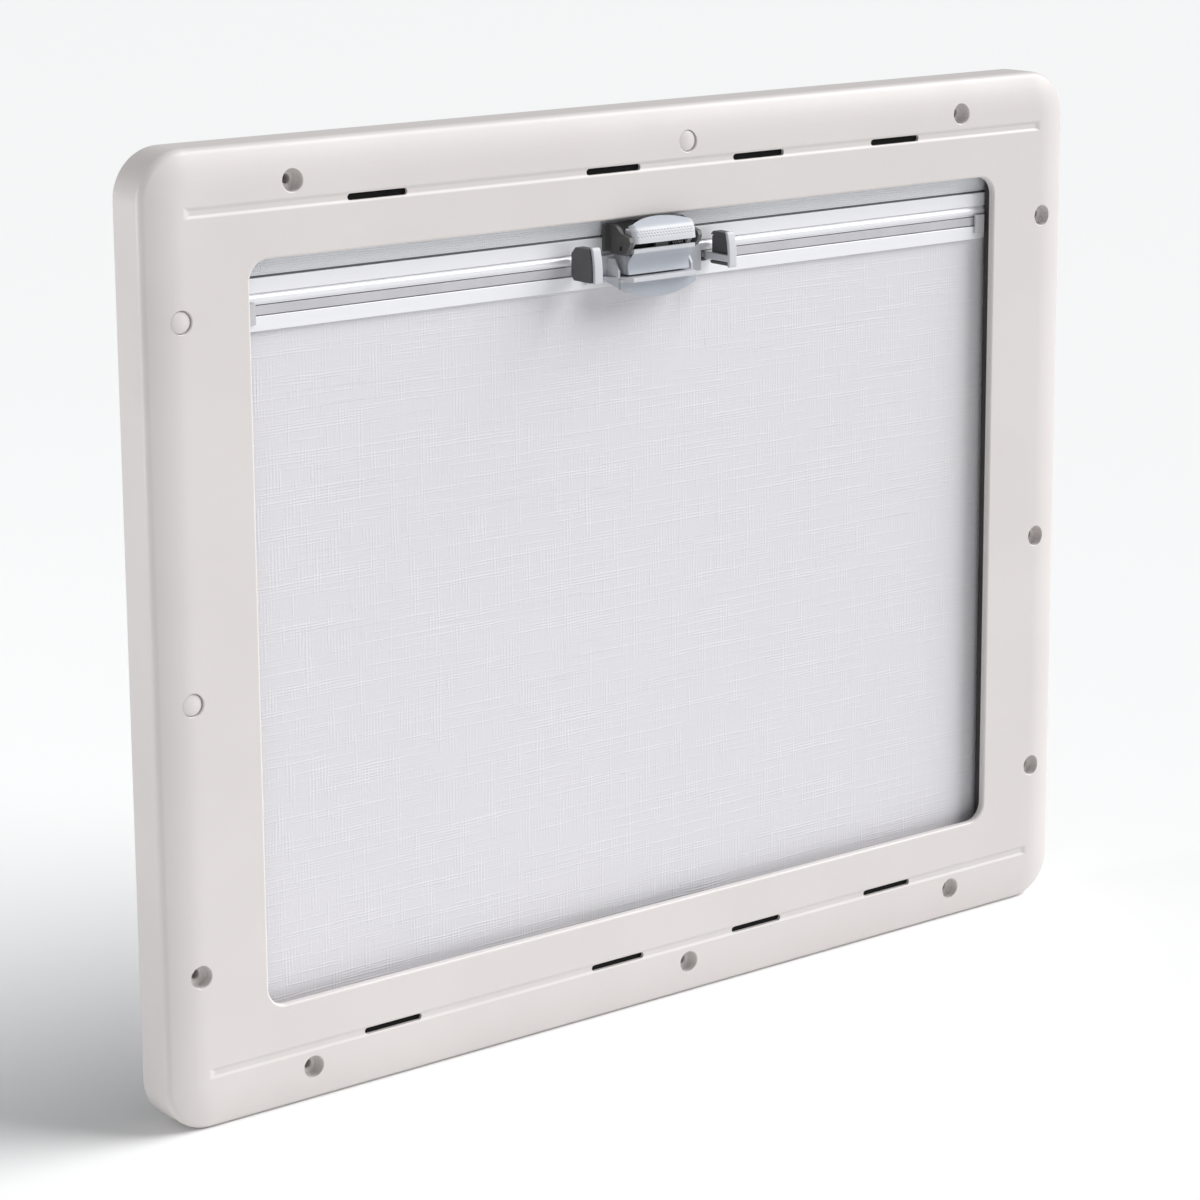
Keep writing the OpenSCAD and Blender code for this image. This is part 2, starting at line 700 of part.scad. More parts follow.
module lower_grip() color(grip_colour) {
    along_x(-grip_half, grip_half) polygon(GRIP);
    translate([0, 0, grip_lo - shelf_t]) linear_extrude(shelf_t)
        polygon([[-28, base_front], [-20, pin_y - 6.4], [20, pin_y - 6.4], [28, base_front]]);
    both_sides() along_x(tab_half - 1.4, tab_half) polygon([
        [base_front, blackout_z + 2.6], [base_front, lip_top - 5.4], [pin_y + 5, lip_top - 5.4],
        [pin_y + 1, grip_lo + 3], [pin_y + 1, blackout_z + 0.6], [pin_y + 3, blackout_z + 0.6]
    ]);
    translate([0, pin_y + 1, 0]) rotate([90, 0, 0]) linear_extrude(2.4) intersection() {
        translate([0, tab_low + tab_r]) circle(r = tab_r, $fn = 160);
        translate([-tab_half, tab_low]) square([2 * tab_half, grip_lo - shelf_t / 2 - tab_low]);
    }
}

// Barbed tooth in the middle of the grip, which hooks over the lever's rib
module keeper_tooth() color(black_colour) along_x(-4, 4) polygon([
    [pin_y - 4.1, lip_top - 3.5], [pin_y - 4.1, pin_z + 6.8], [pin_y - 2, pin_z + 6.6], [pin_y - 0.7, pin_z + 5.5],
    [pin_y - 2, pin_z + 5.5], [pin_y - 2, lip_top - 3.7]
]);

module left_release_spring() color(steel_colour)
    translate([0, strip_front + 1.9, slot_mid]) coil(1.6, 0.3, -paddle_x - 0.8, -stop_x - 2.4, 7, 12);
module right_release_spring() mirror([1, 0, 0]) left_release_spring();

// ---- Release paddles ----

paddle_out = paddle_x + paddle_w;

// Front line of the paddle, from its lower end to its upper end, as [y, z]
PADDLE = [
    [grip_front + 0.5, paddle_z], [grip_front, paddle_z + 1], [grip_front, paddle_z + 7],
    [grip_front + 0.5, paddle_z + 12], [grip_front + 1.5, paddle_z + paddle_h - 1.5],
    [grip_front + 2.4, paddle_z + paddle_h]
];

// Front plate and the foot that reaches back into the bar's slot
module right_paddle() color(grip_colour) {
    along_x(paddle_x, paddle_out)
        polygon(concat(PADDLE, reversed([for (p = PADDLE) p + [paddle_t, 0]])));
    translate([paddle_out - 4.2, grip_front + paddle_t - eps, slot_lo + 0.8])
        cube([2, strip_front - grip_front - paddle_t + eps, bar_slot_h - 1.6]);
}

// Soft shell on the outer side, open towards the middle
module right_pad() color(pad_colour) {
    lo = paddle_z + 0.6;
    hi = paddle_z + paddle_h - 0.6;
    line = [for (p = PADDLE) [p[0] + paddle_t, min(max(p[1], lo), hi)]];
    outline = concat(line, [[pad_back - 3.4, hi], [pad_back, hi - 3.4], [pad_back, lo + 2], [pad_back - 2, lo]]);
    along_x(paddle_out - pad_t, paddle_out + 1.2) polygon(outline);
    along_x(paddle_x + 0.8, paddle_out) difference() {
        polygon(outline);
        translate([grip_front - 1, slot_lo + 0.4]) square([40, hi - pad_t - slot_lo - 0.4]);
    }
}

// Flat strip in the bar's slot, from the paddle to the brake shoe
module right_strip() color(bar_colour)
    translate([paddle_x + 1.2, strip_front, strip_lo]) cube([shoe_in - paddle_x - 1.2, strip_t, strip_h]);

// Shoe at the end of the strip: a tongue in the bar's slot, which bears on the rail's floor, and a plate in
// front of the bar
module right_brake_shoe() color(grip_colour) {
    reach = chan_floor - 0.3 - shoe_in;
    translate([shoe_in, bar_front - 0.3, slot_lo + 0.3]) cube([reach, bar_slot_d, bar_slot_h - 0.6]);
    translate([shoe_in - 3.2, bar_front - 1.4, shoe_lo]) cube([open_x - 0.2 - shoe_in + 3.2, 1.2, shoe_hi - shoe_lo]);
}

module left_paddle() mirror([1, 0, 0]) right_paddle();
module left_pad() mirror([1, 0, 0]) right_pad();
module left_strip() mirror([1, 0, 0]) right_strip();
module left_brake_shoe() mirror([1, 0, 0]) right_brake_shoe();

// ---- Nodes ----

front_frame();
screw_caps();
slot_seals();
left_rail();
right_rail();
rail_screws();
top_left_bracket();
top_right_bracket();
bottom_left_bracket();
bottom_right_bracket();
bottom_catch();
screen_axle();
screen_spring();
blackout_axle();
blackout_spring();
screen_tube();
screen_left_plug();
screen_right_plug();
screen_roll();
blackout_tube();
blackout_left_plug();
blackout_right_plug();
blackout_roll();
screen_mesh();
blackout_sheet();
screen_bar();
screen_left_guide();
screen_right_guide();
screen_spline();
latch_bracket();
latch_pin();
latch_spring();
latch_lever();
blackout_bar();
blackout_left_guide();
blackout_right_guide();
blackout_spline();
grip_base();
lower_grip();
keeper_tooth();
left_release_spring();
right_release_spring();
left_paddle();
left_pad();
left_strip();
left_brake_shoe();
right_paddle();
right_pad();
right_strip();
right_brake_shoe();
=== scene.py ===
"""A blind cassette for a caravan window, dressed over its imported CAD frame: moulded plastic, coated linen,
insect screen, satin bars and a finger grip. Metres; X right, Y into the wall, Z up."""
import json
import math

import bmesh
import bpy
import numpy as np
from mathutils import Matrix, Vector


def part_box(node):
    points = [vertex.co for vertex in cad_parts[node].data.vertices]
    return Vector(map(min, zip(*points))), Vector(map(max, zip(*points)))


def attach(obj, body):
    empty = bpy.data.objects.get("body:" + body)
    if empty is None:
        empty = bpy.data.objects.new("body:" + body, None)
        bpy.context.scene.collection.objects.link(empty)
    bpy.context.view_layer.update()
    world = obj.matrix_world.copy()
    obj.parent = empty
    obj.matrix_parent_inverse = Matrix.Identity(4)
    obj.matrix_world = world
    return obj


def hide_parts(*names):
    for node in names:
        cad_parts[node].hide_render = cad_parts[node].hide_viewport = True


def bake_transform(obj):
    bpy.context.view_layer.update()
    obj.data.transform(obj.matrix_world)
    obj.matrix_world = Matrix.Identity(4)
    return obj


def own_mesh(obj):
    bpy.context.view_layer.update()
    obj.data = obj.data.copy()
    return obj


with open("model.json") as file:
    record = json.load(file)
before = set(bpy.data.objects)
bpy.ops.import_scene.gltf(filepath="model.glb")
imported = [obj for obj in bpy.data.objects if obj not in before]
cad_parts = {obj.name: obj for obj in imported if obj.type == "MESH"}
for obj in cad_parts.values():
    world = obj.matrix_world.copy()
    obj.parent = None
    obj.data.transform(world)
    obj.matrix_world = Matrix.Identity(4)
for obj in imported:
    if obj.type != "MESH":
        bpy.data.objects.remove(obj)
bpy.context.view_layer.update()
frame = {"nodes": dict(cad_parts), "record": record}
MM = 0.001

# ---- Camera ----
# A long lens on a tall stand, left of the frame, looking slightly down at the opening.
azimuth, elevation, roll = math.radians(-37.7), math.radians(11.9), -0.0061
aim, distance = Vector((-0.0129, 0, 0.056)), 1.784
forward = Vector((
    -math.sin(azimuth) * math.cos(elevation),
    math.cos(azimuth) * math.cos(elevation),
    -math.sin(elevation),
))
right = forward.cross(Vector((0, 0, 1))).normalized()
up = right.cross(forward)
right, up = (
    right * math.cos(roll) + up * math.sin(roll),
    up * math.cos(roll) - right * math.sin(roll),
)
camera = bpy.data.objects.new("camera", bpy.data.cameras.new("camera"))
camera.data.lens = 104.7
camera.data.shift_y = -0.12
turn = Matrix((right, up, -forward)).transposed().to_4x4()
camera.matrix_world = Matrix.Translation(aim - forward * distance) @ turn
bpy.context.scene.collection.objects.link(camera)
bpy.context.scene.camera = camera


# ---- Front frame ----
# One injection moulding in warm white plastic. The border slopes back to a rounded edge, and a lip
# stands round the opening. Screw seats, vent grooves and slots are cut into it; bosses stand behind.
class Value:
    """A number in a material. Each operator adds the Math node that does it."""

    def __init__(self, finish, socket):
        self.finish, self.socket = finish, socket

    def math(self, operation, *others, first=None):
        inputs = dict(enumerate((self if first is None else first, *others)))
        return Value(self.finish, self.finish.node("Math", inputs, operation=operation).outputs[0])

    def __add__(self, other):
        return self.math("ADD", other)

    def __mul__(self, other):
        return self.math("MULTIPLY", other)

    def __sub__(self, other):
        return self.math("SUBTRACT", other)

    def __rsub__(self, other):
        return self.math("SUBTRACT", self, first=other)

    __radd__, __rmul__ = __add__, __mul__


class Finish:
    """A material under construction. place is a point of the piece, in metres."""

    def __init__(self, name, roughness=0.5, metallic=0.0, specular=0.5):
        self.material = bpy.data.materials.new(name)
        self.material.use_nodes = True
        self.tree = self.material.node_tree
        self.surface = self.tree.nodes["Principled BSDF"]
        self.place = self.node("TexCoord").outputs["Object"]
        for socket, value in (("Roughness", roughness), ("Metallic", metallic), ("Specular IOR Level", specular)):
            self.set(socket, value)

    def node(self, kind, inputs=None, **settings):
        """A node of that kind: settings first, then the values or links of its sockets."""
        made = self.tree.nodes.new("ShaderNode" + kind)
        for name, value in settings.items():
            setattr(made, name, value)
        for name, value in (inputs or {}).items():
            self.join(made.inputs[name], value)
        return made

    def join(self, socket, value):
        value = getattr(value, "socket", value)
        if isinstance(value, bpy.types.NodeSocket):
            self.tree.links.new(value, socket)
        else:
            socket.default_value = value

    def set(self, socket, value):
        self.join(self.surface.inputs[socket], value)

    def stretched(self, x, y, z):
        """The point with each coordinate multiplied, which squeezes a pattern along that axis."""
        return self.node("VectorMath", {0: self.place, 1: (x, y, z)}, operation="MULTIPLY").outputs[0]

    def noise(self, point, scale=1.0, detail=2.0, roughness=0.5):
        inputs = {"Vector": point, "Scale": scale, "Detail": detail, "Roughness": roughness}
        return Value(self, self.node("TexNoise", inputs).outputs[0])

    def remap(self, value, low, high, to_low, to_high):
        """value from low..high to to_low..to_high, clamped, with soft ends."""
        inputs = {0: value, 1: low, 2: high, 3: to_low, 4: to_high}
        return Value(self, self.node("MapRange", inputs, interpolation_type="SMOOTHSTEP").outputs[0])

    def mixed(self, share, first, second):
        """first where share is 0, second where it is 1."""
        made = self.node("Mix", {0: share}, data_type="RGBA")
        for k, colour in ((6, first), (7, second)):
            self.join(made.inputs[k], colour if not isinstance(colour, tuple) else (*colour, 1.0))
        return made.outputs[2]

    def bump(self, height, distance):
        """Turns height, from 0 to 1, into relief of that distance."""
        made = self.node("Bump", {"Height": height, "Strength": 1.0, "Distance": distance})
        self.set("Normal", made.outputs[0])


def moulded_plastic(name, colour, shade, roughness, grain=0.02, scale=1600):
    """Moulded plastic: a fine etched grain, slow patches of gloss, and faint cloudiness towards shade."""
    made = Finish(name)
    cloud = made.noise(made.place, 14, 3)
    etch = made.noise(made.place, scale, 2)
    made.set("Base Color", made.mixed(made.remap(cloud, 0.35, 0.7, 0, 1), colour, shade))
    made.set("Roughness", made.remap(cloud * 0.6 + etch * 0.4, 0.3, 0.7, roughness - 0.05, roughness + 0.05))
    made.bump(etch, grain * MM)
    return made.material


def grid_faces(rows, columns, round_rows=False, round_columns=False):
    """Quads of a grid whose point (i, j) is number i * columns + j. A round direction joins up with its start."""
    i = np.arange(rows if round_rows else rows - 1)[:, None]
    j = np.arange(columns if round_columns else columns - 1)[None, :]
    next_i, next_j = (i + 1) % rows, (j + 1) % columns
    corners = (i * columns + j, i * columns + next_j, next_i * columns + next_j, next_i * columns + j)
    return np.stack(corners, -1).reshape(-1, 4)


def make_piece(name, shells, material, sharp=32, weighted=True):
    """A mesh from closed shells, with doubles merged and faces turned outwards. A shell is its points, its quads,
    and then any end faces."""
    points, faces, count = [], [], 0
    for shell_points, quads, *ends in shells:
        points.append(np.asarray(shell_points, float).reshape(-1, 3))
        faces += (np.asarray(quads) + count).tolist()
        faces += [(np.asarray(end) + count).tolist() for end in ends]
        count += len(points[-1])
    mesh = bpy.data.meshes.new(name)
    mesh.from_pydata(np.concatenate(points).tolist(), [], faces)
    clean(mesh)
    piece = bpy.data.objects.new(name, mesh)
    bpy.context.scene.collection.objects.link(piece)
    finish_piece(piece, material, sharp, weighted)
    return piece


def clean(mesh, flat=None):
    """Merges doubles and turns the faces outwards. flat is the angle below which neighbours become one face."""
    work = bmesh.new()
    work.from_mesh(mesh)
    bmesh.ops.remove_doubles(work, verts=work.verts, dist=1e-6)
    bmesh.ops.dissolve_degenerate(work, edges=work.edges, dist=1e-6)
    if flat is not None:
        bmesh.ops.dissolve_limit(work, angle_limit=math.radians(flat), verts=work.verts, edges=work.edges)
    bmesh.ops.recalc_face_normals(work, faces=work.faces)
    work.to_mesh(mesh)
    work.free()


def finish_piece(piece, material, sharp=32, weighted=True):
    """Gives a piece its material and smooth shading that breaks at edges sharper than sharp degrees."""
    piece.data.materials.clear()
    piece.data.materials.append(material)
    piece.data.polygons.foreach_set("use_smooth", np.ones(len(piece.data.polygons), bool))
    piece.data.set_sharp_from_angle(angle=math.radians(sharp))
    if weighted:
        piece.modifiers.new("even_shading", "WEIGHTED_NORMAL").keep_sharp = True


def round_edges(piece, width, segments=2, angle=34):
    """Rounds every edge of a piece that is sharper than angle."""
    bevel = piece.modifiers.new("round_edges", "BEVEL")
    bevel.width, bevel.segments, bevel.limit_method = width, segments, "ANGLE"
    bevel.angle_limit, bevel.harden_normals = math.radians(angle), False
    bevel.miter_outer = "MITER_ARC"
    piece.modifiers.new("even_shading", "WEIGHTED_NORMAL").keep_sharp = True


def combine(piece, other, operation):
    """Cuts other from piece, or adds it, and leaves one plain mesh."""
    step = piece.modifiers.new(operation, "BOOLEAN")
    step.operation, step.solver, step.object = operation, "MANIFOLD", other
    settled = bpy.data.meshes.new_from_object(piece.evaluated_get(bpy.context.evaluated_depsgraph_get()))
    piece.modifiers.clear()
    piece.data = settled
    bpy.data.objects.remove(other)


def arc(centre, radius, start, end, steps):
    """Points on a circle from the angle start to end, in degrees."""
    a = np.radians(np.linspace(start, end, steps + 1))
    return np.stack([centre[0] + radius * np.cos(a), centre[1] + radius * np.sin(a)], -1)


def rounded_loop(half_x, half_z, radius, steps=14):
    """A rectangle with round corners: each corner is a quarter circle about its own centre."""
    a = np.radians(np.linspace(0, 90, steps + 1))[None, :] + np.radians([0, 90, 180, 270])[:, None]
    sign_x, sign_z = np.array([1, -1, -1, 1])[:, None], np.array([1, 1, -1, -1])[:, None]
    x = sign_x * (half_x - radius) + radius * np.cos(a)
    z = sign_z * (half_z - radius) + radius * np.sin(a)
    return np.stack([x, z], -1).reshape(-1, 2)


def facing_room(plan, height):
    """Points drawn on the wall plane as (x, z), raised by height towards the room."""
    plan = np.asarray(plan, float)
    return np.stack([plan[..., 0], np.broadcast_to(-np.asarray(height, float), plan.shape[:-1]), plan[..., 1]], -1)


def prism(plan, low, high):
    """An outline on the wall plane, drawn out from height low to high, with both ends closed."""
    n = len(plan)
    points = np.concatenate([facing_room(plan, low), facing_room(plan, high)])
    return points, grid_faces(2, n, round_columns=True), range(n), range(n, 2 * n)


def turned(profile, centre, steps=40):
    """A profile of (radius, height) turned about an axis that stands on the wall at centre."""
    profile = np.asarray(profile, float)
    a = np.linspace(0, 2 * np.pi, steps, endpoint=False)[None, :]
    x, z = (centre[k] + profile[:, :1] * f(a) for k, f in enumerate((np.cos, np.sin)))
    points = facing_room(np.stack([x, z], -1), profile[:, 1:])
    return points, grid_faces(len(profile), steps, round_columns=True)


def box_plan(x0, x1, z0, z1):
    return np.array([(x0, z0), (x1, z0), (x1, z1), (x0, z1)])


low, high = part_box("front_frame")
half_w, half_h, depth = high.x, high.z, -low.y
wall, corner_r, slope_w, slope = 2.5 * MM, 24 * MM, 20.6 * MM, 21
edge_r = 4.5 * MM
open_x, open_z, open_r = half_w - 55.5 * MM, half_h - 54 * MM, 10 * MM
lip_depth, lip_round, lip_wall = 3.6 * MM, 1.4 * MM, 2 * MM

# Border section, as (distance in from the edge, height): a side wall, a tight edge arc, and a wide arc that
# eases into the flat face.
sine = math.sin(math.radians(slope))
crown_r = (slope_w - edge_r * (1 - sine)) / sine
edge_h = depth - crown_r + (crown_r - edge_r) * math.cos(math.radians(slope))
outside = np.concatenate([
    [(0.3 * MM, 0), (0, 0.3 * MM), (0, edge_h)],
    arc((edge_r, edge_h), edge_r, 180, 90 + slope, 9)[1:],
    arc((slope_w, depth - crown_r), crown_r, 90 + slope, 90, 10)[1:],
])
inside = np.concatenate([
    arc((slope_w, depth - crown_r), crown_r - wall, 90, 90 + slope, 6),
    arc((edge_r, edge_h), edge_r - wall, 90 + slope, 180, 6)[1:],
    [(wall, 0.3 * MM), (wall - 0.3 * MM, 0)],
])
lip_back = depth - lip_depth
lip = np.concatenate([
    arc((lip_round, depth - lip_round), lip_round, 90, 180, 5),
    [(0, lip_back + 0.3 * MM), (0.3 * MM, lip_back), (lip_wall - 0.3 * MM, lip_back)],
    [(lip_wall, lip_back + 0.3 * MM), (lip_wall, depth - wall)],
])


def border_ring(inset, height):
    return facing_room(rounded_loop(half_w - inset, half_h - inset, max(corner_r - inset, 2 * MM)), height)


rings = [border_ring(*point) for point in outside]
rings += [facing_room(rounded_loop(open_x + e, open_z + e, open_r + e), h) for e, h in lip]
rings += [border_ring(*point) for point in inside]
shell = np.stack(rings)

# Screw seats, at the corners and along the sides. The three that carry caps come first.
screw_x, screw_z, middle = half_w - 80 * MM, half_h - 18.3 * MM, 23.5 * MM
side_x, side_z = half_w - 18.3 * MM, half_h - 78.5 * MM
capped_seats = [(middle, screw_z), (-side_x, side_z), (-side_x, -middle)]
open_seats = [(sx * screw_x, sz * screw_z) for sx in (-1, 1) for sz in (-1, 1)]
open_seats += [(middle, -screw_z), (side_x, side_z), (side_x, -middle)]
open_seats += [(-side_x, -side_z), (side_x, -side_z)]
seats = capped_seats + open_seats
seat_floor, seat_r, hole_r, rim = depth - 5.5 * MM, 5.5 * MM, 2.25 * MM, 0.7 * MM
boss_r, boss_top = 7.5 * MM, depth - 1.5 * MM
boss = [(0, 0), (boss_r - 0.3 * MM, 0), (boss_r, 0.3 * MM), (boss_r, boss_top), (0, boss_top)]
post_x = {
    100 * MM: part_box("right_rail")[1].x - 4 * MM,
    196 * MM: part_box("top_right_bracket")[1].x - 4 * MM,
}
posts = [(sx * x, sz * z) for z, x in post_x.items() for sx in (-1, 1) for sz in (-1, 1)]
post = [(0, 8 * MM), (3.4 * MM, 8 * MM), (3.4 * MM, depth - 2 * MM), (0, depth - 2 * MM)]
gusset_half, gusset_wall, gusset_top = 4 * MM, 0.8 * MM, depth - 8 * MM
side_gussets = [(sx * (half_w - 5.25 * MM), z * MM) for sx in (-1, 1) for z in (-110, -65, 35, 95)]
end_gussets = [(x * MM, sz * (half_h - 5.25 * MM)) for sz in (-1, 1) for x in (-150, -100, -40, 80, 130)]
solid_parts = [turned(boss, seat) for seat in seats] + [turned(post, place, 24) for place in posts]
for places, half_x, half_z in (
    (side_gussets, gusset_half, gusset_wall),
    (end_gussets, gusset_wall, gusset_half),
):
    for x, z in places:
        plan = box_plan(x - half_x, x + half_x, z - half_z, z + half_z)
        solid_parts.append(prism(plan, 3 * MM, gusset_top))

# What is cut: stepped holes for the screws, one groove along the top and one along the bottom, and their slots.
seat_hole = np.concatenate([
    [(0, -MM), (hole_r, -MM), (hole_r, seat_floor - 0.9 * MM), (3.2 * MM, seat_floor)],
    arc((seat_r - 0.8 * MM, seat_floor + 0.8 * MM), 0.8 * MM, -90, 0, 3),
    arc((seat_r + rim, depth - rim), rim, 180, 105, 4),
    [(seat_r + rim, depth + MM), (0, depth + MM)],
])
pilot = [(0, 7 * MM), (1.35 * MM, 7 * MM), (1.35 * MM, 19 * MM), (0, 19 * MM)]
groove_x, groove_z, groove_w, groove_depth = half_w - 22 * MM, half_h - 29 * MM, 4.6 * MM, 0.8 * MM
slot_pitch = (screw_x - 24 * MM) / 2
slot_x = [47.5 * MM - screw_x, -middle, slot_pitch - middle, 2 * slot_pitch - middle]
slot_len, slot_h = 34 * MM, 3.4 * MM
holes = [turned(seat_hole, seat) for seat in seats] + [turned(pilot, place, 24) for place in posts]
# The groove's wall, as (distance in from its edge, height above its floor).
groove_wall = np.array([
    (1.5, 0), (1.1, 0.06), (0.75, 0.2), (0.4, 0.4), (0.1, 0.58), (-0.3, 0.72), (-0.8, 0.82), (-1.2, 0.86),
]) * MM
grooves, slots = [], []
for side in (-1, 1):
    z = side * groove_z
    rings = np.stack([
        facing_room(
            rounded_loop(groove_x - 2 * inset, groove_w / 2 - inset, 0.7 * MM, 5) + (0, z),
            depth - groove_depth + rise,
        )
        for inset, rise in groove_wall
    ])
    n = rings.shape[1]
    last = n * len(rings)
    grooves.append((rings, grid_faces(len(rings), n, round_columns=True), range(n), range(last - n, last)))
    for x in slot_x:
        outline = rounded_loop(slot_len / 2, slot_h / 2, slot_h / 2 - 1e-5, 6) + (x, z)
        slots.append(prism(outline, depth - 6 * MM, depth + 5 * MM))

frame_plastic = moulded_plastic("frame_plastic", (0.675, 0.638, 0.624), (0.655, 0.618, 0.605), 0.39)
border = (shell, grid_faces(len(shell), shell.shape[1], True, True))
front = make_piece("frame_moulding", [border], frame_plastic, weighted=False)
for shells, operation in (
    (solid_parts, "UNION"),
    (holes, "DIFFERENCE"),
    (grooves, "DIFFERENCE"),
    (slots, "DIFFERENCE"),
):
    combine(front, make_piece("tool", shells, frame_plastic, weighted=False), operation)
clean(front.data, flat=0.4)
finish_piece(front, frame_plastic, weighted=False)
round_edges(front, 0.45 * MM, 2, 40)
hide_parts("front_frame")
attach(front, "cassette")

# ---- Screw caps ----
# Three push-in discs of the same plastic. Each sits a little low in its seat, with a soft rim and crown.
cap_r, cap_top, cap_rim, crown = seat_r - 0.15 * MM, depth - 1.0 * MM, 0.5 * MM, 0.75 * MM
cap_floor, stem_r = seat_floor + 0.2 * MM, cap_r - MM
cap_side = [(0, cap_floor), (stem_r, cap_floor), (stem_r, seat_floor + 2.9 * MM), (cap_r, seat_floor + 3.1 * MM)]
cap_edge = arc((cap_r - cap_rim, cap_top - cap_rim), cap_rim, 0, 80, 4)
from_middle = np.linspace(cap_r - 1.2 * cap_rim, 0, 6)
cap_crown = np.stack([from_middle, cap_top + crown * (1 - (from_middle / cap_r) ** 2)], -1)
cap_profile = np.concatenate([cap_side, cap_edge, cap_crown])
caps = make_piece("screw_cap_discs", [turned(cap_profile, seat) for seat in capped_seats], frame_plastic)
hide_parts("screw_caps")
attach(caps, "cassette")


# ---- Rails, brackets and catch ----
# Extruded and moulded black plastic, screwed to posts behind the frame. The rails guide both bars, the
# brackets carry the rollers, and the catch stops the bars at the bottom. Their edges are slightly rounded.
def softened(node, material, width, segments=2, suffix="_body"):
    """A copy of a CAD node's mesh with its flat faces made whole and its edges rounded. It stands for the node."""
    mesh = frame["nodes"][node].data.copy()
    clean(mesh, flat=0.5)
    piece = bpy.data.objects.new(node + suffix, mesh)
    bpy.context.scene.collection.objects.link(piece)
    finish_piece(piece, material, weighted=False)
    round_edges(piece, width, segments)
    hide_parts(node)
    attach(piece, next(body for body, nodes in frame["record"]["behaviour"]["bodies"].items() if node in nodes))
    return piece


black_plastic = moulded_plastic("black_plastic", (0.022, 0.020, 0.018), (0.032, 0.029, 0.026), 0.42, 0.015, 2200)
for node in ("left_rail", "right_rail", "bottom_catch"):
    softened(node, black_plastic, 0.3 * MM)
for end in ("top_left", "top_right", "bottom_left", "bottom_right"):
    softened(end + "_bracket", black_plastic, 0.25 * MM)

# ---- Slot seals ----
# A strip of black foam is stuck behind each row of slots, a dark sheet that stands in for the shade inside them:
# painted shade. Its skin is open-celled and matt.
def slot_shade_foam():
    made = Finish("slot_shade_foam", 0.95, specular=0.1)
    cells = made.noise(made.place, 1500, 4, 0.7)
    # Painted shade: near-black foam behind the slots so that they read dark.
    made.set("Base Color", made.mixed(cells, (0.006, 0.006, 0.006), (0.02, 0.02, 0.02)))
    made.bump(cells, 0.1 * MM)
    return made.material


softened("slot_seals", slot_shade_foam(), 0.1 * MM)

# ---- Screws, axles and springs ----
# Zinc-plated steel: drawn wire and turned rod with fine lines along them, under slightly cloudy plating.
def steel_finish(name, shade, colour):
    made = Finish(name, metallic=1.0)
    lines = made.noise(made.stretched(1500, 6000, 6000), 1, 2)
    cloud = made.noise(made.place, 300, 3)
    made.set("Base Color", made.mixed(cloud, shade, colour))
    made.set("Roughness", made.remap(lines * 0.5 + cloud * 0.5, 0.3, 0.7, 0.24, 0.42))
    made.bump(lines, 0.004 * MM)
    return made.material


steel = steel_finish("plated_steel", (0.50, 0.50, 0.49), (0.66, 0.66, 0.64))
softened("rail_screws", steel, 0.15 * MM)
softened("screen_axle", steel, 0.15 * MM)
softened("blackout_axle", steel, 0.15 * MM)


def coil(name, node, axis_y, axis_z, radius, wire, x0, x1, turns):
    """A spring wound along X. A point at (t, a) of its wire: the helix at t, plus the wire's radius at the angle a
    between the outward direction and X. The wire's two ends close to a point."""
    t = np.linspace(0, 1, turns * 20 + 1)[:, None]
    a = np.linspace(0, 2 * np.pi, 8, endpoint=False)[None, :]
    taper = np.sqrt(np.clip(np.minimum(t, 1 - t) * turns * 20 / 2, 0.05, 1))
    around = 2 * np.pi * turns * t
    out = radius + wire * taper * np.cos(a)
    points = np.stack([
        x0 + (x1 - x0) * t + wire * taper * np.sin(a),
        axis_y + out * np.cos(around),
        axis_z + out * np.sin(around),
    ], -1)
    ends = [range(8), range(points.size // 3 - 8, points.size // 3)]
    piece = make_piece(name, [(points, grid_faces(len(t), 8, round_columns=True), *ends)], steel, 60)
    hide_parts(node)
    return piece


roller_z = open_z + 14.5 * MM
roller_y = {"screen": -8.4 * MM, "blackout": -9.3 * MM}
spring_r, spring_wire, spring_turns = 3.6 * MM, 0.42 * MM, 60
for cloth, side in (("screen", 1), ("blackout", -1)):
    x0, x1 = (corner.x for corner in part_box(cloth + "_spring"))
    ends = (x0 + 0.5 * MM, x1 - 0.5 * MM)
    axis = (roller_y[cloth], side * roller_z)
    spring = coil(cloth + "_roller_spring", cloth + "_spring", *axis, spring_r, spring_wire, *ends, spring_turns)
    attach(spring, "cassette")

# ---- Rollers ----
# Each is a thin aluminium tube, anodised, with a black moulded plug pressed into both ends.
def anodised(name, colour, shade, roughness, metallic=0.55):
    """Satin anodised aluminium: fine lines along X from extrusion, and slow clouds of tone and gloss."""
    made = Finish(name, metallic=metallic)
    lines = made.noise(made.stretched(20, 3500, 3500), 1, 3)
    cloud = made.noise(made.stretched(6, 60, 60), 1, 3)
    made.set("Base Color", made.mixed(lines * 0.6 + cloud * 0.4, colour, shade))
    made.set("Roughness", made.remap(lines * 0.5 + cloud * 0.5, 0.3, 0.7, roughness - 0.06, roughness + 0.06))
    made.bump(lines, 0.003 * MM)
    return made.material


tube_metal = anodised("tube_metal", (0.60, 0.60, 0.62), (0.50, 0.50, 0.52), 0.42)
for cloth in roller_y:
    softened(cloth + "_tube", tube_metal, 0.15 * MM)
    softened(cloth + "_left_plug", black_plastic, 0.2 * MM)
    softened(cloth + "_right_plug", black_plastic, 0.2 * MM)


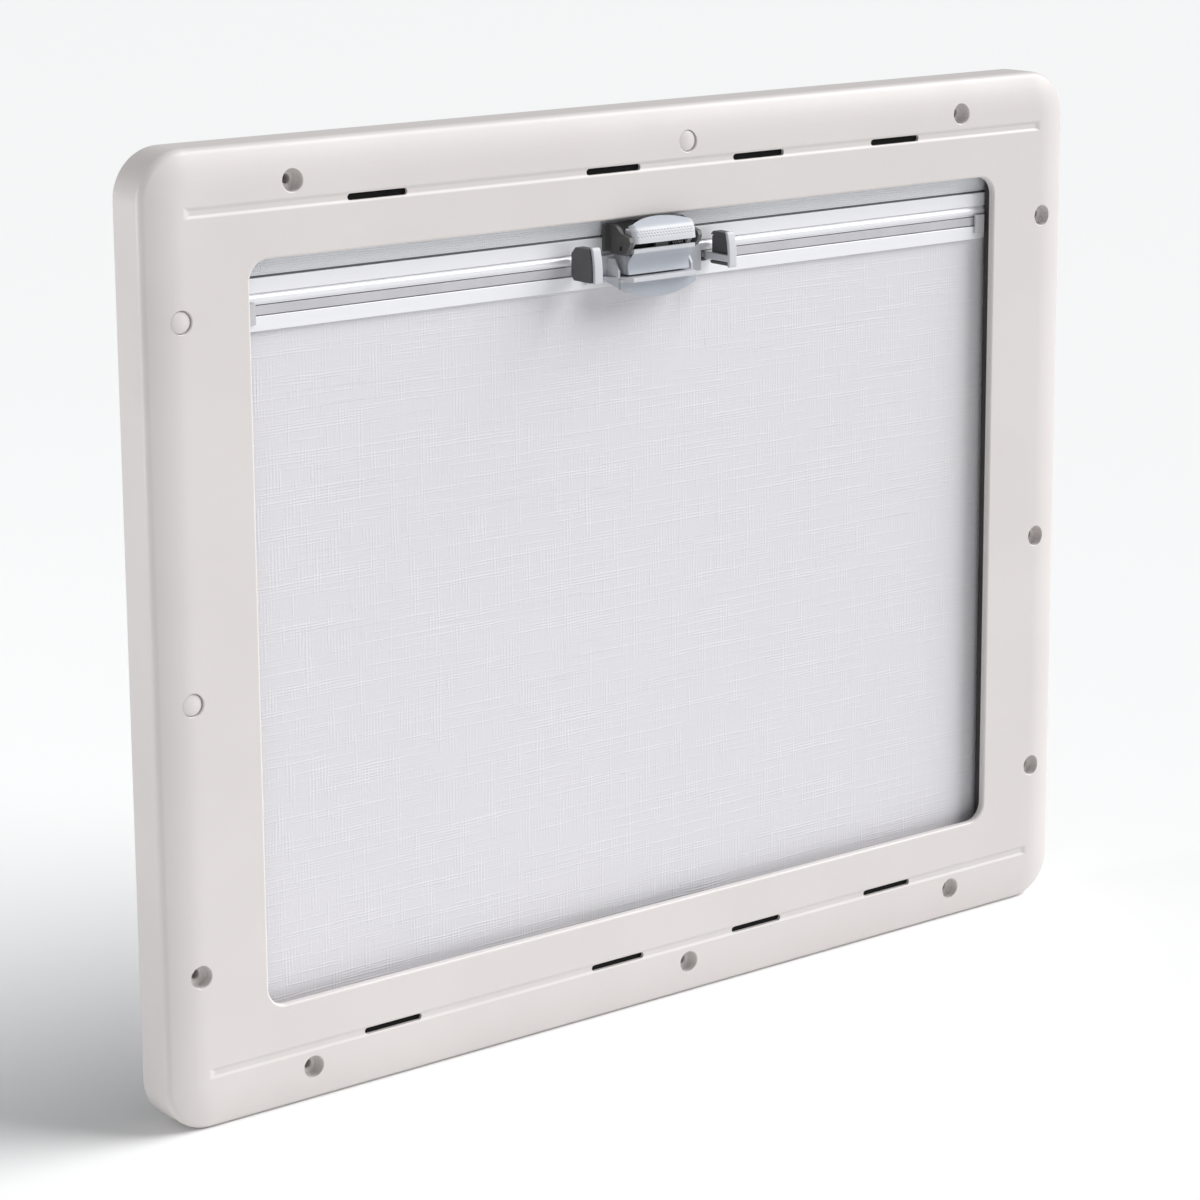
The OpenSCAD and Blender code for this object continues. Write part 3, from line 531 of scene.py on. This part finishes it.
# ---- Wound cloth ----
# The spare cloth on each tube. Its ends show the turns of the spiral, and its outside has the cloth's weave.
def linen_heights(made, x, z, across, pitch, strength):
    """Height of an embossed linen: threads along one direction, in groups that come and go.
    x, z: how much each coordinate is squeezed. A wave across the threads is gated by slow noise along them."""
    bend = made.noise(made.stretched(30 if across else 140, 0, 140 if across else 30), 1, 2) * 9.0
    axis = made.node("SeparateXYZ", {0: made.place}).outputs[2 if across else 0]
    wave = (Value(made, axis) * (2 * math.pi / pitch) + bend).math("SINE")
    gate = made.noise(made.stretched(x, 0, z), 1, 3, 0.6)
    return (wave * 0.5 + 0.5) * made.remap(gate, 0.46, 0.64, 0.04, 1) * strength


def coated_linen():
    """Blackout cloth: white coated polyester with an embossed linen weave in two directions, in bump, and in tone as
    painted shade that darkens the emboss's low parts.
    """
    made = Finish("coated_linen", 0.55, specular=0.4)
    across = linen_heights(made, 13, 420, True, 1.5 * MM, 0.75)
    upright = linen_heights(made, 160, 45, False, 1.8 * MM, 0.42)
    slubs = made.remap(made.noise(made.stretched(9, 0, 900), 1, 2), 0.66, 0.74, 0, 0.7)
    slubs = slubs + made.remap(made.noise(made.stretched(900, 0, 40), 1, 2), 0.67, 0.75, 0, 0.6)
    fine = made.noise(made.place, 2600, 2) * 0.25
    height = across + upright + slubs + fine
    cloud = made.noise(made.place, 9, 3)
    # Painted shade: the emboss's low parts are darker and its raised threads lighter.
    tone = made.mixed(made.remap(height, 0.1, 1.3, 0, 1), (0.68, 0.67, 0.695), (0.745, 0.735, 0.76))
    made.set("Base Color", made.mixed(made.remap(cloud, 0.35, 0.7, 0, 0.3), tone, (0.70, 0.68, 0.70)))
    made.set("Roughness", made.remap(cloud, 0.3, 0.7, 0.5, 0.6))
    made.bump(height, 0.17 * MM)
    return made.material


def insect_screen(clear):
    """Fly screen: woven yarn, 1.2 mm square mesh, pale blue-white, with a dark opaque band of painted shadow where the
    piece's own painted-shadow attribute is 1; it stands for the shadow line just above the bar. clear is how open the
    holes are."""
    made = Finish("insect_screen_%d" % (100 * clear), 0.6)
    where = made.node("SeparateXYZ", {0: made.place})
    pitch = 2 * math.pi / (1.2 * MM)
    threads = [(Value(made, where.outputs[k]) * pitch).math("SINE") for k in (0, 2)]
    yarn = threads[0].math("MAXIMUM", threads[1])
    solid = made.remap(yarn, 0.15, 0.55, 1 - clear, 1)
    twist = made.noise(made.place, 2500, 2)
    yarn_tone = made.mixed(twist, (0.86, 0.88, 0.92), (0.94, 0.95, 0.98))
    # Painted shadow: a dark, opaque band just above the bar's top, standing in for the shadow line there.
    hem_tape = made.remap(made.node("Attribute", attribute_name="hem").outputs[2], 0.2, 0.3, 0, 1)
    made.set("Base Color", made.mixed(hem_tape, yarn_tone, (0.17, 0.17, 0.18)))
    made.set("Alpha", solid.math("MAXIMUM", hem_tape))
    made.bump(yarn * 0.5 + 0.5, 0.12 * MM)
    return made.material


linen, screen_cloth = coated_linen(), insect_screen(0.0)
tube_r, cloth_half, cloth_y = 6 * MM, open_x + 11.5 * MM, -16.75 * MM
roll_columns = 25
for cloth, side, roll_r, turns, material, slot in (
    ("screen", 1, 7.8 * MM, 6, screen_cloth, "insect_screen"),
    ("blackout", -1, 6.9 * MM, 4, linen, "blackout_fabric"),
):
    # Spiral: radius grows evenly with the angle from the tube to the outside, then the other face comes back.
    a = np.linspace(0, 2 * np.pi * turns, turns * 28 + 1)
    pitch = (roll_r - tube_r - 0.05 * MM) / turns
    grow = tube_r + 0.05 * MM + pitch * np.clip(a / (2 * np.pi), 0, turns)
    outer, inner = grow, np.maximum(grow - 0.8 * pitch, tube_r + 0.03 * MM)
    faces_of_turn = [np.stack([r * np.cos(a), r * np.sin(a)], -1) for r in (outer, inner)]
    line = np.concatenate([faces_of_turn[0], faces_of_turn[1][::-1]]) + (roller_y[cloth], side * roller_z)
    n, half = len(line), len(line) // 2
    along = np.linspace(-cloth_half, cloth_half, roll_columns)[:, None]
    points = np.stack([np.broadcast_to(part, (roll_columns, n)) for part in (along, line[:, 0], line[:, 1])], -1)
    k = np.arange(half - 1)
    end_quads = np.stack([k, k + 1, n - 2 - k, n - 1 - k], -1)
    far_quads = end_quads + (roll_columns - 1) * n
    quads = np.concatenate([grid_faces(roll_columns, n, round_columns=True), end_quads, far_quads])
    roll_piece = make_piece(cloth + "_wound_cloth", [(points, quads)], material, 40)
    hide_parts(cloth + "_roll")
    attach(roll_piece, cloth + "_roller")


# ---- Blackout sheet ----
# White coated cloth with a linen emboss. It is wound on the lower roller and its top edge is held in the bar.
def cloth_panel(name, z0, z1, rows, thickness, sway, material):
    """A thin closed panel: front and back grids at z from z0 to z1, joined round their rim. Its depth sways by a
    smooth sum of waves that dies out at the top and bottom."""
    columns = 97
    x = np.linspace(-cloth_half, cloth_half, columns)[None, :]
    z = np.linspace(z0, z1, rows)[:, None]
    free = np.sin(np.pi * (z - z0) / (z1 - z0))
    wave = sway * free * (np.sin(9 * x + 14 * z) + 0.5 * np.sin(31 * x - 8 * z + 1)) / 1.5
    y = cloth_y + wave + 0 * x
    half = thickness / 2
    sides = [np.stack([x + 0 * z, y + offset, z + 0 * x], -1).reshape(-1, 3) for offset in (-half, half)]
    count = rows * columns
    faces = grid_faces(rows, columns)
    grid = np.arange(count).reshape(rows, columns)
    rim = np.concatenate([grid[0, :-1], grid[:-1, -1], grid[-1, :0:-1], grid[:0:-1, 0]])
    around = np.stack([rim, np.roll(rim, -1), np.roll(rim, -1) + count, rim + count], -1)
    panel = (np.concatenate(sides), np.concatenate([faces, faces[:, ::-1] + count, around]))
    return make_piece(name, [panel], material, 60, False)


sheet_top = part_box("blackout_sheet")[1].z
blackout = cloth_panel("blackout_cloth", -roller_z, sheet_top, 73, 0.22 * MM, 0.12 * MM, linen)
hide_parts("blackout_sheet")
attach(blackout, "cassette")
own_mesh(blackout)

# ---- Insect screen ----
# Fine pale mesh, rolled up on the top roller. Only its lowest centimetre shows above the screen bar. The band
# of painted shadow along the bar's top is marked on the mesh itself, so it stays at the bar when the screen is pulled
# down and stretches.
screen_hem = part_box("screen_mesh")[0].z
# Top of the band of painted shadow: just above the bar.
hem_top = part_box("screen_bar")[1].z + 0.9 * MM
mesh_panel = cloth_panel("insect_screen", screen_hem, roller_z, 41, 0.2 * MM, 0, insect_screen(0.1))
heights = np.empty(3 * len(mesh_panel.data.vertices), np.float32)
mesh_panel.data.vertices.foreach_get("co", heights)
hem = (heights[2::3] < hem_top).astype(np.float32)
mesh_panel.data.attributes.new("hem", "FLOAT", "POINT").data.foreach_set("value", hem)
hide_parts("screen_mesh")
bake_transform(mesh_panel)

# ---- Screen bar ----
# A light aluminium extrusion, satin white. A white cord holds the screen's edge in its top groove, and a
# black shoe at each end runs in the rail.
bar_metal = anodised("bar_metal", (0.88, 0.88, 0.905), (0.81, 0.81, 0.835), 0.36, 0.25)
softened("screen_bar", bar_metal, 0.25 * MM)
for end in ("left", "right"):
    softened("screen_%s_guide" % end, black_plastic, 0.3 * MM)


def grip_plastic(name, ribbed_and_shaded=None, hollows=False, tones=((0.60, 0.605, 0.635), (0.56, 0.57, 0.605))):
    """Light blue-grey nylon, cloudy between its two tones. The second argument, given the finish, gives the share of
    the fine-ribbed zone, whose darker tone is partly its own and partly painted shade of faces turned up or inward,
    away from the light. With hollows, the piece's own "hollow" attribute darkens its dimples with painted shade."""
    made = Finish(name)
    cloud = made.noise(made.place, 60, 3)
    grain = made.noise(made.place, 2400, 2)
    smooth = made.mixed(made.remap(cloud, 0.35, 0.7, 0, 1), *tones)
    if ribbed_and_shaded is None:
        made.set("Base Color", smooth)
        made.bump(grain, 0.015 * MM)
    else:
        zone = ribbed_and_shaded(made)
        where = made.node("SeparateXYZ", {0: made.place})
        pitch = 2 * math.pi / (0.75 * MM)
        across, upright = ((Value(made, where.outputs[k]) * pitch).math("SINE") for k in (0, 2))
        ribs = across * upright
        # The ribbed zone's darker blue-grey is partly the ribbed finish's own tone and partly painted shade of faces
        # turned up or inward.
        tone = made.mixed(zone, smooth, (0.40, 0.43, 0.48))
        if hollows:
            # Painted shade: the dimples darken with their depth.
            painted_dimple_shade = made.remap(made.node("Attribute", attribute_name="hollow").outputs[2], 0.3, 0.9, 0, 0.6)
            tone = made.mixed(painted_dimple_shade, tone, (0.24, 0.25, 0.27))
        made.set("Base Color", tone)
        made.bump(grain * 0.2 + (ribs * 0.5 + 0.5) * zone * 0.8, 0.06 * MM)
    made.set("Roughness", made.remap(cloud * 0.5 + grain * 0.5, 0.3, 0.7, 0.36, 0.48))
    return made.material


light_nylon = grip_plastic("light_nylon")
softened("screen_spline", light_nylon, 0.1 * MM)


# ---- Latch bracket and pin ----
# Two dark moulded cheeks on a back plate, riveted to the screen bar. A blackened steel pin crosses them.
def dark_plastic(name, colour, shade, roughness):
    """Dark moulded plastic with a coarse leather-like grain."""
    made = Finish(name)
    grain = made.noise(made.place, 1100, 3, 0.6)
    cloud = made.noise(made.place, 45, 3)
    made.set("Base Color", made.mixed(made.remap(grain * 0.6 + cloud * 0.4, 0.35, 0.65, 0, 1), colour, shade))
    made.set("Roughness", made.remap(grain, 0.3, 0.7, roughness - 0.06, roughness + 0.08))
    made.bump(grain, 0.05 * MM)
    return made.material


cheek_plastic = dark_plastic("cheek_plastic", (0.075, 0.073, 0.072), (0.10, 0.098, 0.097), 0.45)
softened("latch_bracket", cheek_plastic, 0.35 * MM, 3)
dark_steel = steel_finish("blackened_steel", (0.035, 0.035, 0.036), (0.06, 0.06, 0.06))
softened("latch_pin", dark_steel, 0.15 * MM)
pin_y, pin_z = -31 * MM, 167.5 * MM
latch_spring = coil("latch_return_spring", "latch_spring", pin_y, pin_z, 1.95 * MM, 0.3 * MM, 8.3 * MM, 15.5 * MM, 6)
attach(latch_spring, "screen_carriage")

# ---- Latch lever ----
# A curved finger plate with a half-moon top, moulded in light nylon with two arms that are bored for the pin.
# Its front has three rows of dimples, darkened inside as painted shade, and its top a fine texture with a darker tone
# that is partly painted shade.
lever_half, moon, lever_t, pin_clearance = 20.2 * MM, 5 * MM, 1.7 * MM, 0.05 * MM
front_line = np.array([
    (-39.15, 170.1), (-38.95, 171.6), (-38.45, 174.2), (-37.85, 176.3), (-37.2, 177.3),
    (-35.9, 178.6), (-33.6, 180.3), (-31.9, 181.3), (-30.5, 181.95),
]) * MM
step = np.concatenate([[0], np.cumsum(np.linalg.norm(np.diff(front_line, axis=0), axis=1))])


def lever_surface():
    """The lever's outer face. A point at (x, v): v runs along the front line from its lower edge to the height that
    the half-moon reaches at x. Both ends curl back, and each dimple is a small bell-shaped hollow along -Y."""
    x = np.linspace(-lever_half, lever_half, 209)[None, :]
    top = step[-1] - 1.25 * moon * (x / lever_half) ** 2
    s = np.linspace(0, 1, 77)[:, None] * top
    y, z = (np.interp(s, step, front_line[:, k]) for k in (0, 1))
    curl = np.clip(np.abs(x) - (lever_half - 3.2 * MM), 0, None)
    y = y + curl**2 / (5.5 * MM) + 0.5 * MM * (x / lever_half) ** 2
    column_pitch, row_pitch = 1.85 * MM, 1.35 * MM
    row = np.clip(np.round((s - 4.5 * MM) / row_pitch), -1, 1)
    column = np.round(x / column_pitch - row / 2)
    away = np.hypot(x - (column + row / 2) * column_pitch, 1.3 * (s - 4.5 * MM - row * row_pitch))
    inside = np.abs(x) < lever_half - 2.4 * MM
    hollow = inside * np.exp(-((away / (0.36 * MM)) ** 2))
    return np.stack([x + 0 * s, y + 0.34 * MM * hollow, z], -1), hollow


lever_points, hollow = lever_surface()
crease = 177.2 * MM


def above_crease(made):
    tall = made.node("SeparateXYZ", {0: made.place}).outputs[2]
    return made.remap(tall, crease + 0.2 * MM, crease + 0.9 * MM, 0, 0.85)


lever_nylon = grip_plastic("lever_nylon", above_crease, hollows=True)
lever_mesh = bpy.data.meshes.new("latch_finger_plate")
lever_mesh.from_pydata(lever_points.reshape(-1, 3).tolist(), [], grid_faces(*lever_points.shape[:2]).tolist())
lever_mesh.attributes.new("hollow", "FLOAT", "POINT").data.foreach_set("value", hollow.ravel().astype(np.float32))
finger_plate = bpy.data.objects.new("latch_finger_plate", lever_mesh)
bpy.context.scene.collection.objects.link(finger_plate)
finish_piece(finger_plate, lever_nylon, 50, False)
thick = finger_plate.modifiers.new("thickness", "SOLIDIFY")
thick.thickness, thick.offset = lever_t, -1
round_edges(finger_plate, 0.5 * MM, 3, 60)


def across_lever(line, x0, x1):
    """An outline in the YZ plane, drawn along X from x0 to x1, with both ends closed."""
    n = len(line)
    points = np.stack([np.stack([np.full(n, x), line[:, 0], line[:, 1]], -1) for x in (x0, x1)])
    return points, grid_faces(2, n, round_columns=True), range(n), range(n, 2 * n)


hub = arc((0, 0), 2.4 * MM, 180, 360, 14)
arm_line = np.concatenate([hub, np.array([(0.5, 9.5), (-4, 7.5), (-5.6, 4)]) * MM]) + (pin_y, pin_z)
arm_in, arm_out = lever_half - 3.2 * MM, lever_half - 0.6 * MM
rib_line = np.array([(-1.4, 3), (0.6, 3), (0.6, 13), (-0.4, 13), (-0.4, 5), (-1.4, 5)]) * MM + (pin_y, pin_z)
arms = [
    across_lever(arm_line, arm_in, arm_out),
    across_lever(arm_line, -arm_out, -arm_in),
    across_lever(rib_line, -6 * MM, 6 * MM),
]
lever_arms = make_piece("latch_arms", arms, lever_nylon, weighted=False)
bore = arc((pin_y, pin_z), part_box("latch_pin")[1].z - pin_z + pin_clearance, 0, 360, 32)[:-1]
pin_hole = across_lever(bore, -lever_half - MM, lever_half + MM)
combine(lever_arms, make_piece("tool", [pin_hole], lever_nylon, weighted=False), "DIFFERENCE")
clean(lever_arms.data, flat=0.4)
finish_piece(lever_arms, lever_nylon, weighted=False)
round_edges(lever_arms, 0.3 * MM, 2)
for piece in (finger_plate, lever_arms):
    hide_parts("latch_lever")
    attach(piece, "latch_tilt")

# ---- Blackout bar ----
# The second extrusion: a flat flange, a slot for the release strips, and a round nose above. It has the same
# cord and end shoes as the screen bar.
softened("blackout_bar", bar_metal, 0.2 * MM)
for end in ("left", "right"):
    softened("blackout_%s_guide" % end, black_plastic, 0.3 * MM)
softened("blackout_spline", light_nylon, 0.1 * MM)

# ---- Lower grip ----
# A base plate on the bar carries the hollow-faced finger grip, its shelf and its half-moon tab. The hollow
# face and the tab have the fine texture and a darker tone that is partly painted shade. A dark barbed tooth in the
# middle hooks the lever.
softened("grip_base", light_nylon, 0.3 * MM)


def hollow_and_tab(made):
    where = made.node("SeparateXYZ", {0: made.place})
    deep, tall = Value(made, where.outputs[1]), where.outputs[2]
    hollow = made.remap(tall, 153.2 * MM, 153.6 * MM, 0, 1) * made.remap(tall, 164.6 * MM, 165.3 * MM, 1, 0)
    tab = made.remap(tall, 150.5 * MM, 150.9 * MM, 1, 0)
    return (hollow + tab) * made.remap(deep, -30.4 * MM, -30 * MM, 1, 0) * 0.85


softened("lower_grip", grip_plastic("hollow_nylon", hollow_and_tab), 0.4 * MM, 3)
softened("keeper_tooth", cheek_plastic, 0.15 * MM)

# ---- Release springs ----
# Two small compression springs lie in the bar's slot and push the paddles apart. They shorten when squeezed.
spring_y, spring_z, fixed_end, moving_end = -16.4 * MM, 156.65 * MM, 30.4 * MM, 41.3 * MM
for side, name in ((-1, "left"), (1, "right")):
    ends = sorted((side * (fixed_end + 0.3 * MM), side * (moving_end - 0.3 * MM)))
    spring = coil(name + "_paddle_spring", name + "_release_spring", spring_y, spring_z, 1.6 * MM, 0.28 * MM, *ends, 7)
    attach(spring, "blackout_carriage")
    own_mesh(spring)

# ---- Release paddles ----
# Light nylon front plates. Each has a soft dark pad on its outer side, a flat strip in the bar's slot, and
# a shoe at the bar's end that brakes against the rail.
pad_rubber = dark_plastic("pad_rubber", (0.085, 0.085, 0.09), (0.105, 0.105, 0.11), 0.62)
strip_nylon = grip_plastic("strip_nylon", tones=((0.55, 0.54, 0.56), (0.51, 0.505, 0.53)))
for side in ("left", "right"):
    softened(side + "_paddle", light_nylon, 0.5 * MM, 3)
    softened(side + "_pad", pad_rubber, 1.1 * MM, 4)
    softened(side + "_strip", strip_nylon, 0.15 * MM)
    softened(side + "_brake_shoe", strip_nylon, 0.3 * MM, 3)

# ---- Floor and lights ----
# A wide pale floor, one broad soft light from above on the right, and a weak one beside the left edge.
floor_mesh = bpy.data.meshes.new("floor")
floor_mesh.from_pydata([(-30, -20, low.z), (30, -20, low.z), (30, 60, low.z), (-30, 60, low.z)], [], [(0, 1, 2, 3)])
floor = bpy.data.objects.new("floor", floor_mesh)
bpy.context.scene.collection.objects.link(floor)
pale = Finish("pale_floor", 0.95, specular=0.1)
pale.set("Base Color", (0.93, 0.93, 0.93, 1))
floor_mesh.materials.append(pale.material)

broad = bpy.data.objects.new("broad_light", bpy.data.lights.new("broad_light", "SUN"))
broad.data.energy, broad.data.angle = 3.7, math.radians(48)
across, height = math.radians(62), math.radians(36)
towards = Vector((
    math.sin(across) * math.cos(height),
    -math.cos(across) * math.cos(height),
    math.sin(height),
))
broad.rotation_mode = "QUATERNION"
broad.rotation_quaternion = towards.to_track_quat("Z", "Y")
bpy.context.scene.collection.objects.link(broad)
side_light = bpy.data.objects.new("side_light", bpy.data.lights.new("side_light", "AREA"))
side_light.data.shape, side_light.data.energy = "RECTANGLE", 14
side_light.data.size, side_light.data.size_y = 0.6, 1.2
side_light.location = side_place = Vector((-2.0, 0.75, 0.15))
side_light.rotation_mode = "QUATERNION"
from_left_edge = side_place - Vector((-half_w, 0, 0))
side_light.rotation_quaternion = from_left_edge.to_track_quat("Z", "Y")
bpy.context.scene.collection.objects.link(side_light)
world = bpy.data.worlds.new("studio")
world.use_nodes = True
world.node_tree.nodes["Background"].inputs[0].default_value = (0.96, 0.98, 1, 1)
world.node_tree.nodes["Background"].inputs[1].default_value = 0.31
bpy.context.scene.world = world
bpy.context.scene.view_settings.view_transform = "Standard"
